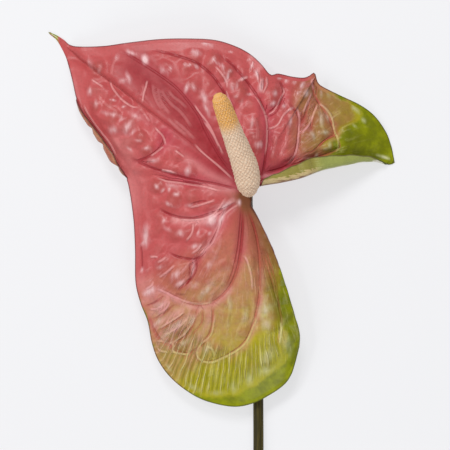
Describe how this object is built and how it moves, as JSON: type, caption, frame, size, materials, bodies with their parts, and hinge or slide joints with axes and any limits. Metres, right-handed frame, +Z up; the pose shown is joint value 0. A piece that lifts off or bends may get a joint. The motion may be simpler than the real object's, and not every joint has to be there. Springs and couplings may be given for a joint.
{
  "type": "cut anthurium",
  "caption": "Cut anthurium lying on its back, with a long bare stem, a waved pink and green spathe with rolled lobes, and a cream and yellow spadix.",
  "frame": {"origin": "on the surface that the flower lies on, under the middle of its bounding box", "axes": "+Z up from the surface towards the flower's face, +Y along the stem from its cut end to the flower head, +X to the right as the face is seen from above"},
  "size_m": [0.173, 0.379, 0.0616],
  "materials": {
    "stem": "smooth, slightly waxy olive brown skin",
    "spathe": "glossy, waxy rose face that turns tan and lime green towards the ends of its lobes",
    "spadix": "matt cream florets, yellow towards the tip"
  },
  "bodies": {
    "root": {"stem": "stem", "spathe": "spathe", "spadix": "spadix"}
  },
  "joints": []
}
